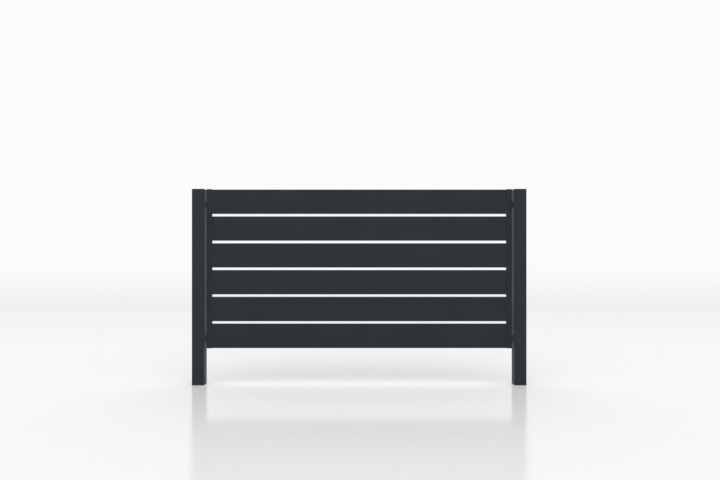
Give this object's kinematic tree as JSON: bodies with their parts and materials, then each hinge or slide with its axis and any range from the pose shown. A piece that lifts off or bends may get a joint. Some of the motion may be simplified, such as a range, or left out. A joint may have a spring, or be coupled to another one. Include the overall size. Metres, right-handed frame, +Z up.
{
  "type": "slatted fence panel with posts",
  "caption": "Fence panel of wide horizontal slats with narrow open slots between them, held in end channels and fixed by small blocks between square posts with flat caps.",
  "frame": {"origin": "middle of the left post's foot, at ground level", "axes": "+X along the fence to the right post, +Y from the front to the rear, +Z up"},
  "size_m": [2.216, 0.08, 1.3018],
  "materials": {
    "coated_aluminium": "matte",
    "moulded_plastic": "matte"
  },
  "bodies": {
    "root": {"left_post": "coated_aluminium", "left_post_cap": "coated_aluminium", "left_stile": "coated_aluminium", "left_stile_cap": "coated_aluminium", "left_stile_foot": "coated_aluminium", "right_post": "coated_aluminium", "right_post_cap": "coated_aluminium", "right_stile": "coated_aluminium", "right_stile_cap": "coated_aluminium", "right_stile_foot": "coated_aluminium", "slat_1": "coated_aluminium", "slat_2": "coated_aluminium", "slat_3": "coated_aluminium", "slat_4": "coated_aluminium", "slat_5": "coated_aluminium", "slat_6": "coated_aluminium", "upper_left_block": "coated_aluminium", "upper_right_block": "coated_aluminium", "lower_left_block": "coated_aluminium", "lower_right_block": "coated_aluminium", "left_spacer_1": "moulded_plastic", "left_spacer_2": "moulded_plastic", "left_spacer_3": "moulded_plastic", "left_spacer_4": "moulded_plastic", "left_spacer_5": "moulded_plastic", "right_spacer_1": "moulded_plastic", "right_spacer_2": "moulded_plastic", "right_spacer_3": "moulded_plastic", "right_spacer_4": "moulded_plastic", "right_spacer_5": "moulded_plastic"}
  },
  "joints": []
}
